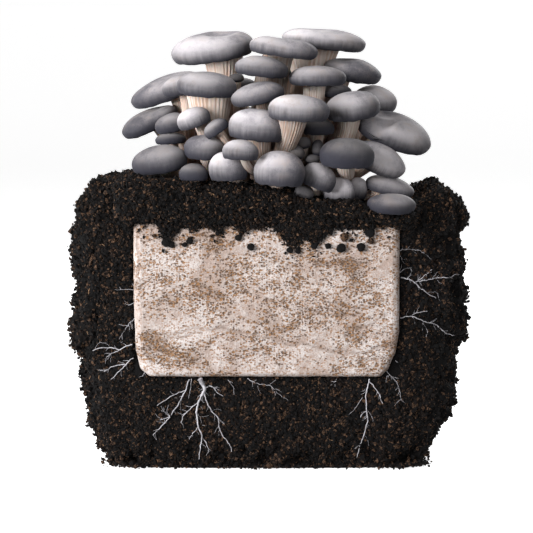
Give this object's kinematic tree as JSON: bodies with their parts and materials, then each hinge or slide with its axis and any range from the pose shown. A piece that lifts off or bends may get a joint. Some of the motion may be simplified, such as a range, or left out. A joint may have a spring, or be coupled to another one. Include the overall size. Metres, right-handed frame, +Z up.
{
  "type": "oyster mushroom grow kit",
  "caption": "Colonised sawdust block set in a bed of dark soil, with a spreading cluster of grey oyster mushrooms growing from its top.",
  "frame": {"origin": "on the flat underside of the soil, under the middle of the sawdust block's width", "axes": "+Z up; -Y to the front, where the block shows in the cut face of the soil; +X to the right as seen from the front"},
  "size_m": [0.3029, 0.1749, 0.3319],
  "materials": {
    "cap_flesh": "matt, velvety, blue-grey, paler on top and dark at the lower edge",
    "stem_flesh": "matt, cream white with fine lengthwise ridges, tan in the shade",
    "sawdust_block": "dry and rough, beige and white with brown specks",
    "soil": "crumbly, very dark brown with tan fibres",
    "mycelium_thread": "soft, white"
  },
  "bodies": {
    "root": {"cap_back_centre_left": "cap_flesh", "cap_back_centre_right": "cap_flesh", "cap_back_left": "cap_flesh", "cap_back_low_left": "cap_flesh", "cap_back_low_right": "cap_flesh", "cap_back_right": "cap_flesh", "cap_back_top_left": "cap_flesh", "cap_back_top_right": "cap_flesh", "cap_centre": "cap_flesh", "cap_centre_low": "cap_flesh", "cap_centre_upper": "cap_flesh", "cap_front_bell": "cap_flesh", "cap_front_button": "cap_flesh", "cap_front_dome": "cap_flesh", "cap_front_pale": "cap_flesh", "cap_front_right": "cap_flesh", "cap_front_upper": "cap_flesh", "cap_left_bottom": "cap_flesh", "cap_left_bud": "cap_flesh", "cap_left_button": "cap_flesh", "cap_left_front": "cap_flesh", "cap_left_inner": "cap_flesh", "cap_left_lobe": "cap_flesh", "cap_left_low": "cap_flesh", "cap_left_outer": "cap_flesh", "cap_left_saddle": "cap_flesh", "cap_left_tucked": "cap_flesh", "cap_left_upper": "cap_flesh", "cap_low_pale": "cap_flesh", "cap_low_shaded": "cap_flesh", "cap_right_back": "cap_flesh", "cap_right_bottom": "cap_flesh", "cap_right_front": "cap_flesh", "cap_right_low": "cap_flesh", "cap_right_middle": "cap_flesh", "cap_right_outer": "cap_flesh", "cap_right_slope": "cap_flesh", "cap_right_tucked": "cap_flesh", "cap_right_upper": "cap_flesh", "cap_right_wing": "cap_flesh", "cap_top_centre": "cap_flesh", "cap_top_left": "cap_flesh", "cap_top_right": "cap_flesh", "mycelium_below_centre": "mycelium_thread", "mycelium_below_left": "mycelium_thread", "mycelium_below_right": "mycelium_thread", "mycelium_left_lower": "mycelium_thread", "mycelium_left_upper": "mycelium_thread", "mycelium_right_lower": "mycelium_thread", "mycelium_right_upper": "mycelium_thread", "sawdust_block": "sawdust_block", "soil": "soil", "stems_back": "stem_flesh", "stems_centre_tall": "stem_flesh", "stems_front": "stem_flesh", "stems_left": "stem_flesh", "stems_left_tall": "stem_flesh", "stems_right": "stem_flesh", "stems_right_low": "stem_flesh", "stems_right_tall": "stem_flesh"}
  },
  "joints": []
}
